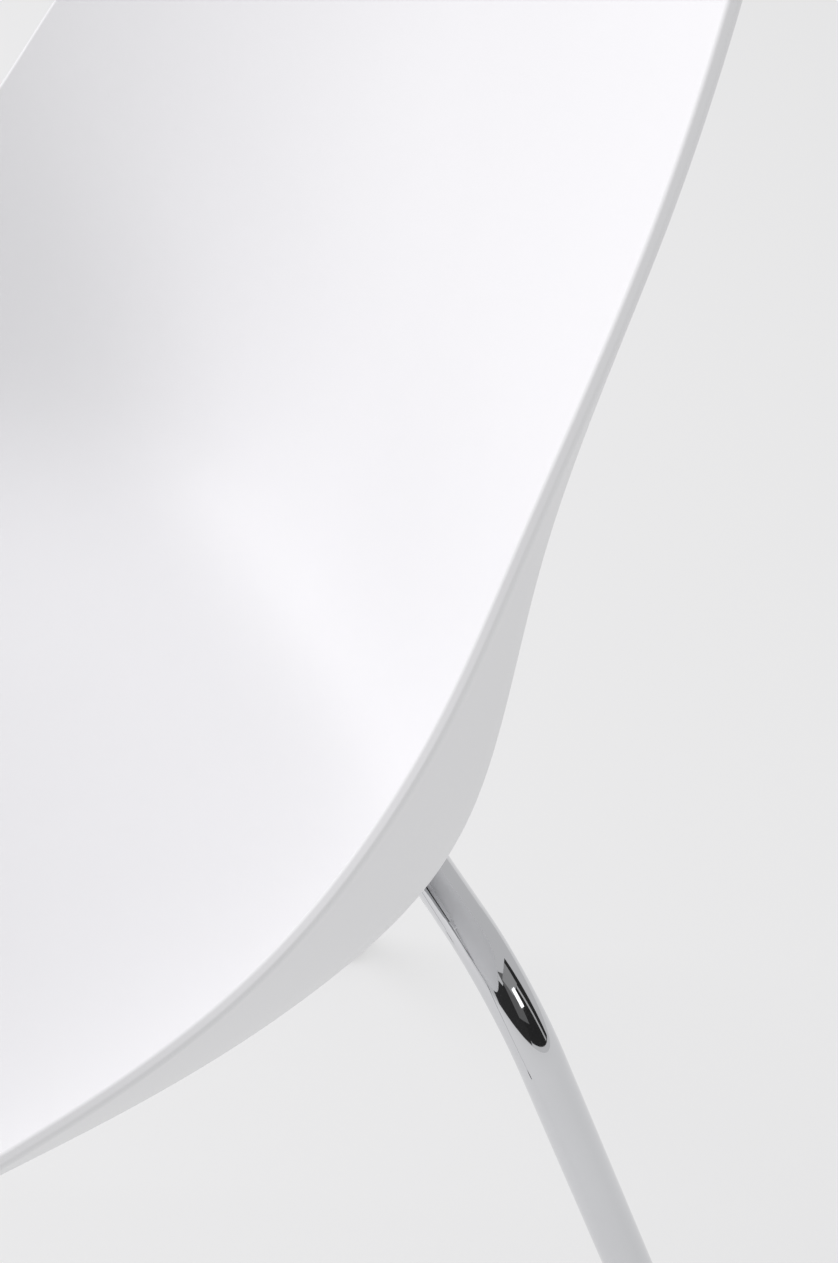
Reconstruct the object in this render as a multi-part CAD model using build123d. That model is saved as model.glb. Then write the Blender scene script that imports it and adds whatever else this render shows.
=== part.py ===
from build123d import *
import os
from math import radians, tan

from scipy.interpolate import CubicSpline
from scipy.optimize import brentq

# A stacking chair: a one-piece moulded bucket shell on two bent chrome tubes with tilting glides.
# Millimetres, +Z up. The sitter faces -Y, so +X is at the sitter's left hand.
# While the pieces are made, Y is measured back from the front lip of the shell.

# Shell
shell_depth = 482.0  # front lip to the rear of the back
shell_half_width = 246.0  # middle to the widest point of the rim
seat_height = 420.0  # lowest point of the seat above the floor
back_rise = 388.0  # that point to the top of the back
wall = 4.0

# Cross-sections of the shell from the front lip to the top of the back. Each has its step along
# the shell, its middle (percent of depth and of rise), its half width (percent of the widest),
# its rim (percent of depth and of rise), and the power with which it curves up to that rim.
sections = [
    (0.00, 0.0, 1.0, 69.9, 5.8, 1.8, 4.8),
    (0.10, 7.9, 4.1, 85.4, 13.4, 4.9, 3.8),
    (0.22, 25.7, 2.6, 96.1, 23.8, 8.9, 4.6),
    (0.36, 44.6, 0.0, 100.0, 36.3, 15.5, 5.2),
    (0.50, 62.7, 0.0, 95.9, 50.9, 22.3, 4.5),
    (0.61, 73.7, 4.9, 91.1, 60.9, 33.4, 3.5),
    (0.71, 79.5, 24.2, 85.8, 67.7, 45.6, 2.6),
    (0.83, 86.0, 49.0, 77.2, 77.1, 63.3, 2.3),
    (0.94, 91.7, 71.6, 69.1, 83.7, 78.7, 2.4),
    (1.04, 96.5, 88.1, 59.4, 89.3, 89.8, 3.1),
    (1.12, 100.0, 100.0, 49.6, 94.4, 95.4, 4.4),
]
seat_end_step = 0.60  # the seat ends and the back begins about here
rows_along = 57
columns_across = 41
surface_tolerance = 0.05

# Leg frames, each one tube bent to an inverted U
tube_radius = 8.0
tube_wall = 2.0
bend_radius = 40.0
crossbar_drop = 20.0  # crossbar axis below the lowest point of the seat
corner_half_span = 173.5  # middle to where the crossbar axis and a leg axis meet
front_crossbar_inset = 89.0  # behind the front lip
rear_crossbar_inset = 134.5  # ahead of the rear of the back
leg_outward = 0.24  # sideways run of every leg for each unit that it drops
front_leg_forward = 0.14
rear_leg_backward = 0.289

# Flat rails welded between the crossbars
rail_half_spacing = 95.0
rail_width = 25.0
rail_thickness = 6.0

# Fixings between the rails and the bosses of the shell
front_fixing_gap = 70.0  # behind the front crossbar
rear_fixing_gap = 47.0  # ahead of the rear crossbar
spacer_thickness = 3.0
boss_radius = 12.0
gusset_length = 46.0
gusset_thickness = 3.0
gusset_gap = 2.0  # between a gusset's foot and the boss's face
boss_overrun = 8.0  # above the sitting surface, before that surface trims the boss
trim_depth = 24.0  # of the space above the sitting surface that trims them
insert_radius = 4.0
insert_length = 9.0
insert_pocket_depth = 10.0
thread_radius = 3.0
thread_gap = 0.05
screw_length = 18.0
screw_hole_gap = 0.3
head_radius = 5.25
head_height = 3.3
head_round = 1.65
socket_radius = 2.3
socket_depth = 1.8
washer_radius = 7.0
washer_thickness = 1.2

# Stacking buffers, clipped on the crossbars
buffer_half_spacing = 60.0
buffer_length = 32.0
buffer_wall = 3.5
buffer_foot_width = 18.0
buffer_foot_depth = 7.0
buffer_round = 2.0
buffer_mouth = 110.0  # degrees of the tube left open at the top

# Tilting glides
ball_radius = 6.0
ball_gap = 0.2
stud_radius = 2.5
stud_in_plug = 15.0
collar_distance = 10.0  # ball centre to the collar of the plug
collar_thickness = 4.0
collar_radius = 9.0
plug_length = 22.0
plug_gap = 0.05
glide_pad_radius = 16.0
pad_rim_height = 4.0
pad_rim_round = 1.3
dome_wall = 3.2
mouth_half_angle = 52.0  # of the cone through which the stud leaves the pad
sole_radius = 13.8
sole_thickness = 3.0
sole_recess = 1.5
ball_clearance = 1.0  # ball above the sole
small_edge = 0.6
plug_lead_in = 1.2

crossbar_height = seat_height - crossbar_drop
ball_height = sole_thickness + ball_clearance + ball_radius
rail_top = crossbar_height + rail_thickness / 2
rail_bottom = rail_top - rail_thickness
boss_face = rail_top + spacer_thickness
on_base = (Align.CENTER, Align.CENTER, Align.MIN)
ends = {
    "front": (front_crossbar_inset, -front_leg_forward),
    "rear": (shell_depth - rear_crossbar_inset, rear_leg_backward),
}
sides = {"left": 1, "right": -1}
fixing_places = [
    (side * rail_half_spacing, back)
    for side in sides.values()
    for back in (ends["front"][0] + front_fixing_gap, ends["rear"][0] - rear_fixing_gap)
]
section_curves = [
    CubicSpline([s[0] for s in sections], [s[k] for s in sections], bc_type="natural")
    for k in range(1, len(sections[0]))
]


def shell_point(step, x_of):
    """A point of the sitting surface. x_of gives its X from the half width of the section."""
    shares = [float(curve(step)) for curve in section_curves]
    middle_back, middle_rise, width, rim_back, rim_rise, power = shares
    half_width = shell_half_width * width / 100
    x = x_of(half_width)
    lift = abs(x / half_width) ** power
    back = shell_depth / 100 * (middle_back + (rim_back - middle_back) * lift)
    rise = back_rise / 100 * (middle_rise + (rim_rise - middle_rise) * lift)
    return Vector(x, back, seat_height + rise)


def sitting_surface():
    last_step = sections[-1][0]
    rows = []
    for i in range(rows_along):
        step = last_step * i / (rows_along - 1)
        shares = [2 * j / (columns_across - 1) - 1 for j in range(columns_across)]
        rows.append([shell_point(step, lambda half_width: half_width * share) for share in shares])
    return Face.make_surface_from_array_of_points(rows, tol=surface_tolerance, min_deg=3, max_deg=5)


def seat_z(x, back):
    """Height of the sitting surface over a point of the seat."""
    step = brentq(lambda s: shell_point(s, lambda half_width: x).Y - back, 0, seat_end_step)
    return shell_point(step, lambda half_width: x).Z


def upright(x, back, z_low, z_high, radius):
    return Pos(x, back, z_low) * Cylinder(radius, z_high - z_low, align=on_base)


def boss(x, back):
    """A moulded boss with crossed gussets, left long so that the sitting surface trims it."""
    top = seat_z(x, back) + boss_overrun
    gusset_foot = boss_face + gusset_gap
    gusset = Box(gusset_length, gusset_thickness, top - gusset_foot, align=on_base)
    gussets = gusset + Rot(0, 0, 90) * gusset
    return upright(x, back, boss_face, top, boss_radius) + Pos(x, back, gusset_foot) * gussets


def seat_shell():
    surface = sitting_surface()
    shell = Solid.thicken(surface, wall)
    space_above = Solid.thicken(surface, -trim_depth)
    for x, back in fixing_places:
        pocket = upright(x, back, boss_face, boss_face + insert_pocket_depth, insert_radius)
        shell = shell + (boss(x, back) - space_above) - pocket
    return shell


def shell_inserts():
    insert_hole = upright(0, 0, boss_face, boss_face + insert_length, thread_radius)
    insert = upright(0, 0, boss_face, boss_face + insert_length, insert_radius) - insert_hole
    return [Pos(x, back, 0) * insert for x, back in fixing_places]


def shell_spacers():
    spacer = upright(0, 0, rail_top, boss_face, boss_radius)
    spacer -= upright(0, 0, rail_top, boss_face, thread_radius + screw_hole_gap)
    return [Pos(x, back, 0) * spacer for x, back in fixing_places]


def shell_screws():
    seat = rail_bottom - washer_thickness
    shank = upright(0, 0, seat, seat + screw_length, thread_radius - thread_gap)
    head = upright(0, 0, seat - head_height, seat, head_radius)
    head = fillet(head.edges().group_by(Axis.Z)[0], head_round)
    socket_place = Pos(0, 0, seat - head_height)
    socket = extrude(socket_place * RegularPolygon(socket_radius, 6), socket_depth)
    screw = head + shank - socket
    return [Pos(x, back, 0) * screw for x, back in fixing_places]


def screw_washers():
    low = rail_bottom - washer_thickness
    washer = upright(0, 0, low, rail_bottom, washer_radius)
    washer -= upright(0, 0, low, rail_bottom, thread_radius + screw_hole_gap)
    return [Pos(x, back, 0) * washer for x, back in fixing_places]


def ring_sweep(path):
    start = Plane(origin=path @ 0, z_dir=path % 0)
    outside = sweep(start * Circle(tube_radius), path)
    return outside - sweep(start * Circle(tube_radius - tube_wall), path)


def leg_direction(side, lean):
    return Vector(side * leg_outward, lean, -1).normalized()


def ball_centre(side, back, lean):
    drop = crossbar_height - ball_height
    return Vector(side * (corner_half_span + leg_outward * drop), back + lean * drop, ball_height)


def leg_tube(back, lean):
    tube_ends = [
        ball_centre(side, back, lean)
        - leg_direction(side, lean) * (collar_distance + collar_thickness)
        for side in sides.values()
    ]
    corners = [Vector(side * corner_half_span, back, crossbar_height) for side in sides.values()]
    path = FilletPolyline(tube_ends[0], corners[0], corners[1], tube_ends[1], radius=bend_radius)
    return ring_sweep(path)


def crossbar_core(back, length, radius):
    return Pos(0, back, crossbar_height) * Rot(0, 90, 0) * Cylinder(radius, length)


def rail(side):
    front, rear = ends["front"][0], ends["rear"][0]
    bar = Box(rail_width, rear - front, rail_thickness)
    bar = Pos(side * rail_half_spacing, (front + rear) / 2, crossbar_height) * bar
    for back in (front, rear):
        bar -= crossbar_core(back, 2 * corner_half_span, tube_radius)
    for x, back in fixing_places:
        bar -= upright(x, back, rail_bottom, rail_top, thread_radius + screw_hole_gap)
    return bar


def stacking_buffer(side, back):
    """A clip round the lower part of the crossbar, with a flat foot."""
    outer = tube_radius + buffer_wall
    foot_height = tube_radius + buffer_foot_depth
    foot = Pos(0, 0, -foot_height) * Box(buffer_length, buffer_foot_width, foot_height, align=on_base)
    foot = fillet(foot.edges().group_by(Axis.Z)[0], buffer_round)
    clip = Rot(0, 90, 0) * Cylinder(outer, buffer_length) + foot
    reach = 2 * outer
    half_mouth = radians(buffer_mouth / 2)
    wedge = Polyline(
        (0, 0), (-reach * tan(half_mouth), reach), (reach * tan(half_mouth), reach), close=True
    )
    mouth = extrude(Plane.YZ.offset(-buffer_length) * make_face(wedge), 2 * buffer_length)
    clip = clip - Rot(0, 90, 0) * Cylinder(tube_radius, 2 * buffer_length) - mouth
    return Pos(side * buffer_half_spacing, back, crossbar_height) * clip


def along_leg(side, back, lean):
    """A frame at the ball centre whose Z runs up the leg's axis."""
    return Plane(origin=ball_centre(side, back, lean), z_dir=-leg_direction(side, lean)).location


def ball_stud():
    shank_length = collar_distance + collar_thickness + stud_in_plug
    return Sphere(ball_radius) + upright(0, 0, 0, shank_length, stud_radius)


def glide_plug():
    collar_top = collar_distance + collar_thickness
    collar = upright(0, 0, collar_distance, collar_top, collar_radius)
    collar = chamfer(collar.edges(), small_edge)
    body = upright(0, 0, collar_top, collar_top + plug_length, tube_radius - tube_wall - plug_gap)
    body = chamfer(body.edges().group_by(Axis.Z)[-1], plug_lead_in)
    return collar + body - upright(0, 0, 0, collar_top + stud_in_plug, stud_radius)


def glide_pad():
    """A domed foot that snaps over the ball and can tilt on it. Its ball centre is the origin."""
    dome_radius = ball_radius + dome_wall
    pad_low = sole_thickness - sole_recess - ball_height
    rim = upright(0, 0, pad_low, pad_low + pad_rim_height, glide_pad_radius)
    rim = fillet(rim.edges().group_by(Axis.Z)[-1], pad_rim_round)
    skirt_height = pad_rim_height + dome_wall
    skirt_foot = glide_pad_radius - pad_rim_height
    skirt = Pos(0, 0, pad_low) * Cone(skirt_foot, dome_radius, skirt_height, align=on_base)
    floor_cut = upright(0, 0, -2 * dome_radius, pad_low, glide_pad_radius)
    body = Sphere(dome_radius) + skirt + rim - floor_cut
    mouth_height = 2 * dome_radius
    mouth = Cone(0, mouth_height * tan(radians(mouth_half_angle)), mouth_height, align=on_base)
    recess = upright(0, 0, pad_low, pad_low + sole_recess, sole_radius)
    return body - mouth - Sphere(ball_radius + ball_gap) - recess


def glide_sole():
    sole = upright(0, 0, -ball_height, sole_thickness - ball_height, sole_radius)
    return chamfer(sole.edges().group_by(Axis.Z)[0], small_edge)


def chair_pieces():
    pieces = {
        "seat_shell": seat_shell(),
        "shell_inserts": shell_inserts(),
        "shell_spacers": shell_spacers(),
        "shell_screws": shell_screws(),
        "screw_washers": screw_washers(),
    }
    for side_name, side in sides.items():
        pieces[f"{side_name}_rail"] = rail(side)
    for end_name, (back, lean) in ends.items():
        pieces[f"{end_name}_leg_tube"] = leg_tube(back, lean)
        for side_name, side in sides.items():
            corner = f"{end_name}_{side_name}"
            leg_place = along_leg(side, back, lean)
            floor_place = Pos(*ball_centre(side, back, lean))
            pieces[f"{corner}_stacking_buffer"] = stacking_buffer(side, back)
            pieces[f"{corner}_glide_plug"] = leg_place * glide_plug()
            pieces[f"{corner}_ball_stud"] = leg_place * ball_stud()
            pieces[f"{corner}_glide_pad"] = floor_place * glide_pad()
            pieces[f"{corner}_glide_sole"] = floor_place * glide_sole()
    return pieces


def write_chair():
    """Centres the chair over the origin and writes one file for each piece."""
    groups = {}
    for name, piece in chair_pieces().items():
        solids = piece if isinstance(piece, list) else [piece]
        groups[name] = Compound(children=[solid for part in solids for solid in part.solids()])
    boxes = [group.bounding_box() for group in groups.values()]
    front = min(box.min.Y for box in boxes)
    rear = max(box.max.Y for box in boxes)
    centred = Pos(0, -(front + rear) / 2, 0)
    os.makedirs("parts", exist_ok=True)
    for name, group in groups.items():
        export_step(centred * group, f"parts/{name}.step")
    print("moved by", centred.position, "to stand over the origin")


write_chair()
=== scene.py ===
import math

import bmesh
import bpy
import numpy as np
from mathutils import Matrix, Vector
from mathutils.bvhtree import BVHTree
from mathutils.kdtree import KDTree


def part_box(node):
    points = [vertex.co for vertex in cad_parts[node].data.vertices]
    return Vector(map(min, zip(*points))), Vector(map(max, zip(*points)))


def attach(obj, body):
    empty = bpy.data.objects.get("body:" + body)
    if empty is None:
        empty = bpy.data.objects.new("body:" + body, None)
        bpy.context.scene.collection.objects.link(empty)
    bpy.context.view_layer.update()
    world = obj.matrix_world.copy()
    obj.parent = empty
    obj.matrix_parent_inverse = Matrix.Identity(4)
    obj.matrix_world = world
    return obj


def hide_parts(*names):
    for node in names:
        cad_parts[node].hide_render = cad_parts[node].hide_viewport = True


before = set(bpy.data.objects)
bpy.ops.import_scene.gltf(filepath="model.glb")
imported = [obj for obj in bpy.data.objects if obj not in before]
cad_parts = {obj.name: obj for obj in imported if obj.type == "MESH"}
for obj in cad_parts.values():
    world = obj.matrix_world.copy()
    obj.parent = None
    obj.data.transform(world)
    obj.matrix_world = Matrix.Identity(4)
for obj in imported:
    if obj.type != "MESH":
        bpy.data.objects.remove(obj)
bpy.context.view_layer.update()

# A stacking chair: a white moulded shell on two bent chrome tubes. Metres, +Z up, the sitter faces -Y.
mergeGap = 1e-6
cornerNames = [end + "_" + side for end in ("front", "rear") for side in ("left", "right")]


# making pieces

def naturalCurve(steps, values):  # a natural cubic through the values
    gaps = np.diff(steps)
    slopes = np.diff(values) / gaps
    rows = np.eye(len(steps))
    bends = np.zeros(len(steps))
    for k in range(1, len(steps) - 1):
        rows[k, k - 1:k + 2] = gaps[k - 1], 2 * (gaps[k - 1] + gaps[k]), gaps[k]
        bends[k] = 6 * (slopes[k] - slopes[k - 1])
    bends = np.linalg.solve(rows, bends)

    def valueAt(step):
        k = min(max(int(np.searchsorted(steps, step)) - 1, 0), len(gaps) - 1)
        past, left, gap = step - steps[k], steps[k + 1] - step, gaps[k]
        bent = (bends[k] * left ** 3 + bends[k + 1] * past ** 3) / (6 * gap)
        return (bent + (values[k] / gap - bends[k] * gap / 6) * left
                + (values[k + 1] / gap - bends[k + 1] * gap / 6) * past)

    return valueAt


def addMesh(bm, extra, place):  # joins a finished bmesh to another, at its place
    bmesh.ops.transform(extra, matrix=place, verts=extra.verts)
    mesh = bpy.data.meshes.new("joined")
    extra.to_mesh(mesh)
    extra.free()
    bm.from_mesh(mesh)
    bpy.data.meshes.remove(mesh)


def turned(profile, steps):  # profile of (radius, height), spun about Z
    bm = bmesh.new()
    verts = [bm.verts.new((radius, 0, height)) for radius, height in profile]
    edges = [bm.edges.new(pair) for pair in zip(verts, verts[1:])]
    bmesh.ops.spin(bm, geom=verts + edges, cent=(0, 0, 0), axis=(0, 0, 1), angle=2 * math.pi,
                   steps=steps, use_merge=True)
    bmesh.ops.remove_doubles(bm, verts=bm.verts, dist=mergeGap)
    bmesh.ops.recalc_face_normals(bm, faces=bm.faces)
    return bm


def finishPiece(name, bm, body, replaced=()):
    mesh = bpy.data.meshes.new(name)
    bm.to_mesh(mesh)
    bm.free()
    mesh.shade_smooth()
    piece = bpy.data.objects.new(name, mesh)
    bpy.context.scene.collection.objects.link(piece)
    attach(piece, body)
    if replaced:
        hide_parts(*replaced)
    return piece


def roundEdges(piece, width, steps, angle):
    bevel = piece.modifiers.new("roundEdges", "BEVEL")
    bevel.width, bevel.segments = width, steps
    bevel.limit_method, bevel.angle_limit = "ANGLE", math.radians(angle)
    bevel.harden_normals, bevel.use_clamp_overlap = True, False


# shell

shell = {
    "depth": 0.482, "halfWidth": 0.246, "seatHeight": 0.420, "backRise": 0.388, "lip": -0.24288,
    "wall": 0.004, "rows": 172, "columns": 132, "crowding": 1.25,
    "rimRound": 0.0014, "rimRoom": 0.0017, "rimReach": 0.005, "rimSteps": 5, "sharpAngle": 50,
    # step, then in percent the middle's depth and rise, the half width, the rim's depth and rise,
    # and the power of the curve across; these rows came from a least-squares fit and were rounded
    "sections": [
        (0.00, 0.0, 1.0, 69.9, 5.8, 1.8, 4.8),
        (0.10, 7.9, 4.1, 85.4, 13.4, 4.9, 3.8),
        (0.22, 25.7, 2.6, 96.1, 23.8, 8.9, 4.6),
        (0.36, 44.6, 0.0, 100.0, 36.3, 15.5, 5.2),
        (0.50, 62.7, 0.0, 95.9, 50.9, 22.3, 4.5),
        (0.61, 73.7, 4.9, 91.1, 60.9, 33.4, 3.5),
        (0.71, 79.5, 24.2, 85.8, 67.7, 45.6, 2.6),
        (0.83, 86.0, 49.0, 77.2, 77.1, 63.3, 2.3),
        (0.94, 91.7, 71.6, 69.1, 83.7, 78.7, 2.4),
        (1.04, 96.5, 88.1, 59.4, 89.3, 89.8, 3.1),
        (1.12, 100.0, 100.0, 49.6, 94.4, 95.4, 4.4),
    ],
}
boss = {
    "radius": 0.012, "face": 0.406, "pocket": 0.010, "insertRadius": 0.004, "sink": 0.002, "steps": 48,
    "gussetLength": 0.046, "gussetWidth": 0.003, "gussetGap": 0.002, "gussetCuts": 15,
    "gateRadius": 0.003, "gateHeight": 0.0008, "ringRadius": 0.011, "ringWidth": 0.0006,
    "edgeRound": 0.0005, "edgeSteps": 2, "rayStart": 0.2,
}


def sittingSurface():
    bm = bmesh.new()
    bmesh.ops.create_grid(bm, x_segments=shell["columns"], y_segments=shell["rows"], size=1)
    steps = np.array([s[0] for s in shell["sections"]])
    curves = [naturalCurve(steps, np.array([s[k] for s in shell["sections"]])) for k in range(1, 7)]
    sectionAt = {}
    for vert in bm.verts:
        step = round((vert.co.y + 1) / 2 * steps[-1], 6)
        if step not in sectionAt:
            sectionAt[step] = [curve(step) for curve in curves]
        middleBack, middleRise, width, rimBack, rimRise, power = sectionAt[step]
        share = math.sin(vert.co.x * shell["crowding"]) / math.sin(shell["crowding"])
        lift = abs(share) ** power
        vert.co = (share * shell["halfWidth"] * width / 100,
                   shell["lip"] + shell["depth"] / 100 * (middleBack + (rimBack - middleBack) * lift),
                   shell["seatHeight"]
                   + shell["backRise"] / 100 * (middleRise + (rimRise - middleRise) * lift))
    return bm


def addBoss(bm, x, y, undersideAt):
    top = undersideAt(x, y) + boss["sink"]
    face, pocketTop = boss["face"], boss["face"] + boss["pocket"]
    profile = [(0, pocketTop), (boss["insertRadius"], pocketTop), (boss["insertRadius"], face),
               (boss["radius"], face), (boss["radius"], top), (0, top)]
    addMesh(bm, turned(profile, boss["steps"]), Matrix.Translation((x, y, 0)))
    for turn in (0, 90):
        plate = bmesh.new()
        bmesh.ops.create_cube(plate, size=1)
        long = [e for e in plate.edges if abs(e.verts[0].co.x - e.verts[1].co.x) > 0.5]
        bmesh.ops.subdivide_edges(plate, edges=long, cuts=boss["gussetCuts"], use_grid_fill=True)
        across = Matrix.Rotation(math.radians(turn), 4, "Z")
        size = Matrix.Diagonal((boss["gussetLength"], boss["gussetWidth"], 1, 1))
        bmesh.ops.transform(plate, matrix=Matrix.Translation((x, y, 0)) @ across @ size, verts=plate.verts)
        for vert in plate.verts:
            foot = vert.co.z < 0
            vert.co.z = face + boss["gussetGap"] if foot else undersideAt(vert.co.x, vert.co.y) + boss["sink"]
        addMesh(bm, plate, Matrix.Identity(4))


def clearRim(bm):  # moves crowded points off the rim, to leave room for its rounding
    rim = [vert for vert in bm.verts if vert.is_boundary]
    tree = KDTree(len(rim))
    for k, vert in enumerate(rim):
        tree.insert(vert.co, k)
    tree.balance()
    for vert in bm.verts:
        if vert.is_boundary:
            continue
        near = rim[tree.find(vert.co)[1]]
        ends = [edge.other_vert(near).co for edge in near.link_edges if edge.is_boundary]
        along = (ends[1] - ends[0]).normalized()
        away = vert.co - near.co
        away -= away.dot(along) * along
        gap = away.length
        if 0 < gap < shell["rimReach"]:
            vert.co += away / gap * shell["rimRoom"] * (1 - gap / shell["rimReach"])


def makeShell():
    bm = sittingSurface()
    clearRim(bm)
    bmesh.ops.recalc_face_normals(bm, faces=bm.faces)
    middle = min(bm.faces, key=lambda face: face.calc_center_median().xy.length)
    if middle.normal.z < 0:
        bmesh.ops.reverse_faces(bm, faces=bm.faces)
    bmesh.ops.solidify(bm, geom=bm.faces, thickness=shell["wall"])
    tree = BVHTree.FromBMesh(bm)

    piece = finishPiece("shell_moulding", bm, "chair", ["seat_shell"])
    roundEdges(piece, shell["rimRound"], shell["rimSteps"], shell["sharpAngle"])
    return piece, tree


def makeBosses(tree):
    bm = bmesh.new()

    def undersideAt(x, y):
        return tree.ray_cast(Vector((x, y, boss["rayStart"])), Vector((0, 0, 1)))[0].z

    low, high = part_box("shell_inserts")
    inset = boss["insertRadius"]
    for x in (low.x + inset, high.x - inset):
        for y in (low.y + inset, high.y - inset):
            addBoss(bm, x, y, undersideAt)
    gateY = (low.y + high.y) / 2
    gateZ = undersideAt(0, gateY)
    inner, outer = boss["ringRadius"] - boss["ringWidth"], boss["ringRadius"] + boss["ringWidth"]
    lower, upper = gateZ - boss["gateHeight"], gateZ + boss["gateHeight"]
    gate = [(0, lower), (boss["gateRadius"], lower), (boss["gateRadius"], upper), (0, upper)]
    ring = [(inner, lower), (outer, lower), (outer, upper), (inner, upper), (inner, lower)]
    for profile in (gate, ring):
        addMesh(bm, turned(profile, boss["steps"]), Matrix.Translation((0, gateY, 0)))
    piece = finishPiece("shell_bosses", bm, "chair")
    roundEdges(piece, boss["edgeRound"], boss["edgeSteps"], shell["sharpAngle"])
    return piece


shellPiece, shellTree = makeShell()
bossPiece = makeBosses(shellTree)
print("shell made:", len(shellPiece.data.polygons), "faces")


# welds between the rails and the crossbars

weld = {"radius": 0.0016, "ripple": 0.14, "rippleLength": 0.0024, "profileSteps": 60, "steps": 14,
        "inward": 0.0006, "proud": 0.0002, "taperPower": 12}


def makeWelds():
    bm = bmesh.new()
    for name in ("left_rail", "right_rail"):
        low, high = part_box(name)
        length = high.x - low.x
        profile = []
        for k in range(weld["profileSteps"] + 1):
            along = length * (k / weld["profileSteps"] - 0.5)
            wave = 1 + weld["ripple"] * math.cos(2 * math.pi * along / weld["rippleLength"])
            taper = math.sqrt(max(0, 1 - (2 * along / length) ** weld["taperPower"]))
            profile.append((weld["radius"] * wave * taper, along))
        for y in (low.y + weld["inward"], high.y - weld["inward"]):
            for z in (low.z - weld["proud"], high.z + weld["proud"]):
                place = Matrix.Translation(((low.x + high.x) / 2, y, z))
                place = place @ Matrix.Rotation(math.pi / 2, 4, "Y")
                addMesh(bm, turned(profile, weld["steps"]), place)
    return finishPiece("crossbar_welds", bm, "chair")


weldPiece = makeWelds()
print("welds made")


# effects shared by the materials, each a node group

def newGroup(name, inputs, outputs):
    group = bpy.data.node_groups.new(name, "ShaderNodeTree")
    for label, kind, value in inputs:
        socket = group.interface.new_socket(label, in_out="INPUT", socket_type="NodeSocket" + kind)
        if value is not None:
            socket.default_value = value
    for label, kind in outputs:
        group.interface.new_socket(label, in_out="OUTPUT", socket_type="NodeSocket" + kind)
    return group, group.nodes.new("NodeGroupInput"), group.nodes.new("NodeGroupOutput")


def addNode(tree, kind, settings=None, values=None):
    node = tree.nodes.new("ShaderNode" + kind)
    for key, value in (settings or {}).items():
        setattr(node, key, value)
    for key, value in (values or {}).items():
        if hasattr(value, "links"):
            tree.links.new(value, node.inputs[key])
        else:
            node.inputs[key].default_value = value
    return node


def makeMottleGroup():  # two close shades in broad soft patches
    group, given, out = newGroup("softMottle", [
        ("Coordinates", "Vector", None), ("Light", "Color", None), ("Dark", "Color", None),
        ("Scale", "Float", 8.0), ("Smooth", "Float", 0.4), ("Rough", "Float", 0.5),
    ], [("Color", "Color"), ("Roughness", "Float")])
    patches = addNode(group, "TexNoise", values={
        "Vector": given.outputs["Coordinates"], "Scale": given.outputs["Scale"], "Detail": 3.0})
    spread = addNode(group, "MapRange", {"interpolation_type": "SMOOTHSTEP"}, {
        "Value": patches.outputs["Fac"], "From Min": 0.3, "From Max": 0.7})
    shade = addNode(group, "Mix", {"data_type": "RGBA"}, {"Factor": spread.outputs["Result"]})
    group.links.new(given.outputs["Light"], shade.inputs[6])
    group.links.new(given.outputs["Dark"], shade.inputs[7])
    rough = addNode(group, "MapRange", None, {
        "Value": spread.outputs["Result"],
        "To Min": given.outputs["Smooth"], "To Max": given.outputs["Rough"]})
    group.links.new(shade.outputs[2], out.inputs["Color"])
    group.links.new(rough.outputs["Result"], out.inputs["Roughness"])
    return group


def makeGrainGroup():  # fine even moulded texture, as a height
    group, given, out = newGroup("mouldGrain", [
        ("Coordinates", "Vector", None), ("Scale", "Float", 1800.0), ("Pits", "Float", 0.5),
    ], [("Height", "Float")])
    fine = addNode(group, "TexNoise", values={
        "Vector": given.outputs["Coordinates"], "Scale": given.outputs["Scale"], "Detail": 2.0})
    cells = addNode(group, "TexVoronoi", {"feature": "SMOOTH_F1"}, {
        "Vector": given.outputs["Coordinates"], "Scale": given.outputs["Scale"]})
    pitted = addNode(group, "Math", {"operation": "MULTIPLY"}, {
        0: cells.outputs["Distance"], 1: given.outputs["Pits"]})
    height = addNode(group, "Math", {"operation": "ADD"}, {0: fine.outputs["Fac"], 1: pitted.outputs[0]})
    group.links.new(height.outputs[0], out.inputs["Height"])
    return group


def makeScratchGroup():  # faint drawn lines along one axis
    group, given, out = newGroup("drawnLines", [
        ("Coordinates", "Vector", None), ("Stretch", "Vector", (1.0, 1.0, 1.0)), ("Scale", "Float", 300.0),
        ("Smooth", "Float", 0.05), ("Rough", "Float", 0.1),
    ], [("Roughness", "Float"), ("Height", "Float")])
    mapped = addNode(group, "VectorMath", {"operation": "MULTIPLY"}, {
        0: given.outputs["Coordinates"], 1: given.outputs["Stretch"]})
    lines = addNode(group, "TexNoise", values={
        "Vector": mapped.outputs[0], "Scale": given.outputs["Scale"], "Detail": 4.0})
    rough = addNode(group, "MapRange", None, {
        "Value": lines.outputs["Fac"], "From Min": 0.35, "From Max": 0.65,
        "To Min": given.outputs["Smooth"], "To Max": given.outputs["Rough"]})
    group.links.new(rough.outputs["Result"], out.inputs["Roughness"])
    group.links.new(lines.outputs["Fac"], out.inputs["Height"])
    return group


mottleGroup, grainGroup, scratchGroup = makeMottleGroup(), makeGrainGroup(), makeScratchGroup()


def startMaterial(name, sockets):
    material = bpy.data.materials.new(name)
    material.use_nodes = True
    tree = material.node_tree
    shader = tree.nodes["Principled BSDF"]
    for key, value in sockets.items():
        shader.inputs[key].default_value = value
    place = tree.nodes.new("ShaderNodeTexCoord").outputs["Object"]
    return material, tree, shader, place


def useGroup(tree, group, values):
    node = tree.nodes.new("ShaderNodeGroup")
    node.node_tree = group
    for key, value in values.items():
        if hasattr(value, "links"):
            tree.links.new(value, node.inputs[key])
        else:
            node.inputs[key].default_value = value
    return node


def addBump(tree, shader, height, strength, distance):
    bump = addNode(tree, "Bump", None, {"Strength": strength, "Distance": distance, "Height": height})
    tree.links.new(bump.outputs["Normal"], shader.inputs["Normal"])


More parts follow.
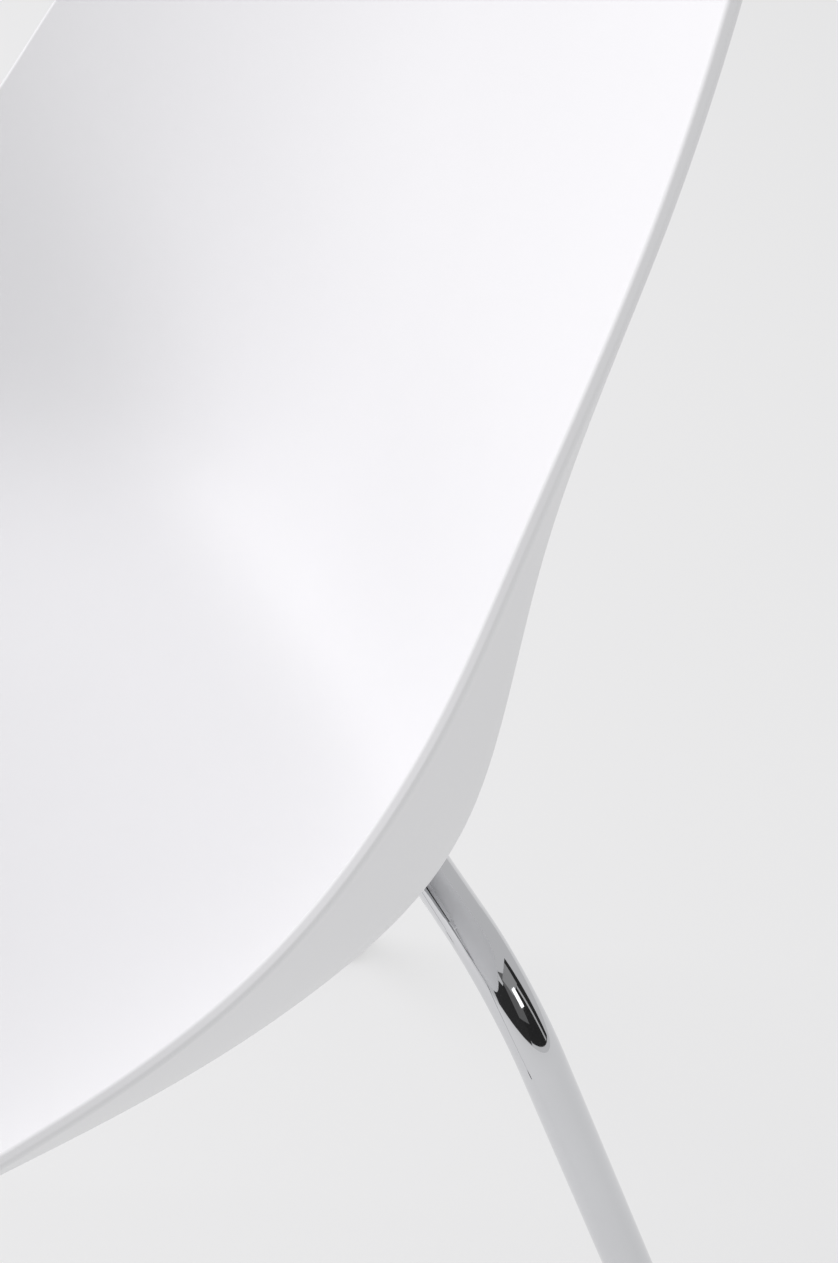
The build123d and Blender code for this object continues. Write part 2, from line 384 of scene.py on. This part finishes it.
def makePlastic(name, look):
    material, tree, shader, place = startMaterial(name, look["sockets"])
    mottle = useGroup(tree, mottleGroup, {
        "Coordinates": place, "Light": look["light"], "Dark": look["dark"], "Scale": look["patchScale"],
        "Smooth": look["smooth"], "Rough": look["rough"]})
    grain = useGroup(tree, grainGroup, {
        "Coordinates": place, "Scale": look["grainScale"], "Pits": look["pits"]})
    tree.links.new(mottle.outputs["Color"], shader.inputs["Base Color"])
    tree.links.new(mottle.outputs["Roughness"], shader.inputs["Roughness"])
    addBump(tree, shader, grain.outputs["Height"], look["grainStrength"], look["grainDepth"])
    return material


def makeMetal(name, look):
    material, tree, shader, place = startMaterial(name, look["sockets"])
    shader.inputs["Metallic"].default_value = 1.0
    mottle = useGroup(tree, mottleGroup, {
        "Coordinates": place, "Light": look["light"], "Dark": look["dark"], "Scale": look["patchScale"]})
    lines = useGroup(tree, scratchGroup, {
        "Coordinates": place, "Stretch": look["stretch"], "Scale": look["lineScale"],
        "Smooth": look["smooth"], "Rough": look["rough"]})
    tree.links.new(mottle.outputs["Color"], shader.inputs["Base Color"])
    tree.links.new(lines.outputs["Roughness"], shader.inputs["Roughness"])
    if look["lineDepth"]:
        addBump(tree, shader, lines.outputs["Height"], look["lineStrength"], look["lineDepth"])
    return material


plastics = {
    "whiteShellPlastic": {
        "light": (0.885, 0.885, 0.892, 1), "dark": (0.872, 0.872, 0.880, 1), "patchScale": 5.0,
        "smooth": 0.60, "rough": 0.68, "grainScale": 1700.0, "pits": 0.6,
        "grainStrength": 0.35, "grainDepth": 0.00006, "sockets": {"IOR": 1.49, "Specular IOR Level": 0.35},
    },
    "softBufferPlastic": {
        "light": (0.80, 0.81, 0.82, 1), "dark": (0.76, 0.77, 0.78, 1), "patchScale": 90.0,
        "smooth": 0.42, "rough": 0.55, "grainScale": 2400.0, "pits": 0.4,
        "grainStrength": 0.3, "grainDepth": 0.00005,
        "sockets": {"IOR": 1.5, "Subsurface Weight": 0.25, "Subsurface Scale": 0.004},
    },
    "blackNylon": {
        "light": (0.030, 0.030, 0.033, 1), "dark": (0.020, 0.020, 0.022, 1), "patchScale": 120.0,
        "smooth": 0.38, "rough": 0.5, "grainScale": 2600.0, "pits": 0.8,
        "grainStrength": 0.4, "grainDepth": 0.00008, "sockets": {"IOR": 1.53},
    },
    "greySolePlastic": {
        "light": (0.10, 0.10, 0.105, 1), "dark": (0.075, 0.075, 0.08, 1), "patchScale": 160.0,
        "smooth": 0.5, "rough": 0.68, "grainScale": 2200.0, "pits": 0.8,
        "grainStrength": 0.5, "grainDepth": 0.0001, "sockets": {"IOR": 1.5},
    },
    "blackRubber": {
        "light": (0.028, 0.028, 0.028, 1), "dark": (0.018, 0.018, 0.018, 1), "patchScale": 140.0,
        "smooth": 0.62, "rough": 0.8, "grainScale": 3000.0, "pits": 0.9,
        "grainStrength": 0.5, "grainDepth": 0.00008, "sockets": {"IOR": 1.52},
    },
}
metals = {
    "polishedChrome": {
        "light": (0.70, 0.705, 0.72, 1), "dark": (0.67, 0.675, 0.69, 1), "patchScale": 14.0,
        "stretch": (1.0, 1.0, 0.08), "lineScale": 900.0, "smooth": 0.03, "rough": 0.05,
        "lineStrength": 0.0, "lineDepth": 0.0, "sockets": {},
    },
    "platedBar": {
        "light": (0.60, 0.605, 0.62, 1), "dark": (0.52, 0.525, 0.54, 1), "patchScale": 40.0,
        "stretch": (1.0, 0.03, 1.0), "lineScale": 900.0, "smooth": 0.20, "rough": 0.34,
        "lineStrength": 0.25, "lineDepth": 0.00004, "sockets": {},
    },
    "zincPlate": {
        "light": (0.66, 0.67, 0.69, 1), "dark": (0.56, 0.56, 0.55, 1), "patchScale": 260.0,
        "stretch": (1.0, 1.0, 0.3), "lineScale": 1200.0, "smooth": 0.22, "rough": 0.4,
        "lineStrength": 0.2, "lineDepth": 0.00003, "sockets": {},
    },
    "turnedBrass": {
        "light": (0.74, 0.57, 0.28, 1), "dark": (0.62, 0.46, 0.22, 1), "patchScale": 220.0,
        "stretch": (0.1, 0.1, 1.0), "lineScale": 1500.0, "smooth": 0.18, "rough": 0.32,
        "lineStrength": 0.3, "lineDepth": 0.00004, "sockets": {},
    },
}
finishes = {name: makePlastic(name, look) for name, look in plastics.items()}
finishes.update({name: makeMetal(name, look) for name, look in metals.items()})
nodeFinish = {
    "seat_shell": "whiteShellPlastic", "shell_inserts": "turnedBrass", "shell_spacers": "blackRubber",
    "shell_screws": "zincPlate", "screw_washers": "zincPlate", "left_rail": "platedBar",
    "right_rail": "platedBar", "front_leg_tube": "polishedChrome", "rear_leg_tube": "polishedChrome",
}
for corner in cornerNames:
    nodeFinish.update({
        corner + "_stacking_buffer": "softBufferPlastic", corner + "_glide_plug": "blackNylon",
        corner + "_ball_stud": "zincPlate", corner + "_glide_pad": "blackNylon",
        corner + "_glide_sole": "greySolePlastic"})
for name, finish in nodeFinish.items():
    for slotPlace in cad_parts[name].material_slots:
        slotPlace.material = finishes[finish]
for piece in (shellPiece, bossPiece):
    piece.data.materials.append(finishes["whiteShellPlastic"])
weldPiece.data.materials.append(finishes["platedBar"])
print("materials given")


# studio

studio = {
    "floorHalf": 14.0, "floorShade": (0.31, 0.31, 0.312, 1), "floorGlow": 0.555,
    "worldShade": (0.96, 0.96, 0.97, 1), "worldStrength": 0.64,
    "softboxes": {  # place, aim, size, watts, colour
        "farSide": ((-1.65, -1.75, 1.95), (0.0, 0.05, 0.55), 1.7, 42.5, (0.99, 0.965, 1.0)),
    },
    "cards": {  # seen only in reflections: way round, height angle, distance, width, height, glow
        "darkWall": (26.0, 36.0, 1.1, 2.0, 1.4, 0.0),
        "darkSide": (-44.0, 24.0, 1.1, 1.4, 1.0, 0.01),
        "brightWindow": (18.0, 46.0, 0.9, 0.24, 0.26, 1.9),
        "greyStand": (-6.0, 46.0, 1.0, 0.55, 0.8, 0.11),
        "greyShelf": (50.0, 26.0, 1.0, 0.12, 0.8, 0.45),
        "palePane": (24.0, 60.0, 0.95, 0.9, 0.30, 0.30),
    },
    "cardAim": (0.17, 0.10, 0.39),
}
view = {"place": (0.625, -0.1271, 0.893), "azimuth": 66.1, "elevation": 35.0, "lens": 62.7}


def makeFloor():
    bm = bmesh.new()
    bmesh.ops.create_grid(bm, x_segments=1, y_segments=1, size=studio["floorHalf"])
    mesh = bpy.data.meshes.new("studio_floor")
    bm.to_mesh(mesh)
    bm.free()
    floor = bpy.data.objects.new("studio_floor", mesh)
    bpy.context.scene.collection.objects.link(floor)
    material, tree, shader, place = startMaterial("palePaper", {"Roughness": 0.95, "Specular IOR Level": 0.1})
    shader.inputs["Base Color"].default_value = studio["floorShade"]
    shader.inputs["Emission Color"].default_value = (1, 1, 1, 1)
    shader.inputs["Emission Strength"].default_value = studio["floorGlow"]
    clear = tree.nodes.new("ShaderNodeBsdfTransparent")
    oneWay = tree.nodes.new("ShaderNodeMixShader")
    behind = tree.nodes.new("ShaderNodeNewGeometry")
    tree.links.new(behind.outputs["Backfacing"], oneWay.inputs["Fac"])
    tree.links.new(shader.outputs["BSDF"], oneWay.inputs[1])
    tree.links.new(clear.outputs["BSDF"], oneWay.inputs[2])
    tree.links.new(oneWay.outputs["Shader"], tree.nodes["Material Output"].inputs["Surface"])
    mesh.materials.append(material)


def makeCard(name, around, tilt, distance, width, height, glow):
    around, tilt, aim = math.radians(around), math.radians(tilt), Vector(studio["cardAim"])
    away = Vector((math.cos(around) * math.cos(tilt), math.sin(around) * math.cos(tilt), math.sin(tilt)))
    bm = bmesh.new()
    bmesh.ops.create_grid(bm, x_segments=1, y_segments=1, size=0.5)
    shape = Matrix.Translation(aim + away * distance) @ away.to_track_quat("Z", "Y").to_matrix().to_4x4() \
        @ Matrix.Diagonal((width, height, 1, 1))
    bmesh.ops.transform(bm, matrix=shape, verts=bm.verts)
    mesh = bpy.data.meshes.new(name)
    bm.to_mesh(mesh)
    bm.free()
    card = bpy.data.objects.new(name, mesh)
    bpy.context.scene.collection.objects.link(card)
    card.visible_camera = card.visible_diffuse = card.visible_shadow = False
    mesh.materials.append(startMaterial(name + "Cloth", {
        "Base Color": (0.01, 0.01, 0.01, 1), "Roughness": 0.9,
        "Emission Color": (1, 1, 1, 1), "Emission Strength": glow})[0])


def makeSoftbox(name, place, aim, size, watts, colour):
    data = bpy.data.lights.new(name, "AREA")
    data.shape, data.size, data.energy, data.color = "SQUARE", size, watts, colour
    light = bpy.data.objects.new(name, data)
    bpy.context.scene.collection.objects.link(light)
    light.location = place
    light.rotation_euler = (Vector(aim) - Vector(place)).to_track_quat("-Z", "Y").to_euler()


makeFloor()
for name, values in studio["softboxes"].items():
    makeSoftbox(name, *values)
for name, values in studio["cards"].items():
    makeCard(name, *values)
world = bpy.data.worlds.new("studioLight")
bpy.context.scene.world = world
world.use_nodes = True
world.node_tree.nodes["Background"].inputs["Color"].default_value = studio["worldShade"]
world.node_tree.nodes["Background"].inputs["Strength"].default_value = studio["worldStrength"]
bpy.context.scene.view_settings.view_transform = "Standard"

cameraData = bpy.data.cameras.new("studioCamera")
cameraData.lens = view["lens"]
camera = bpy.data.objects.new("studioCamera", cameraData)
bpy.context.scene.collection.objects.link(camera)
bpy.context.scene.camera = camera
turn, tip = math.radians(view["azimuth"]), math.radians(view["elevation"])
back = Vector((math.sin(turn) * math.cos(tip), -math.cos(turn) * math.cos(tip), math.sin(tip)))
camera.location = view["place"]
camera.rotation_euler = (-back).to_track_quat("-Z", "Y").to_euler()
print("studio ready")
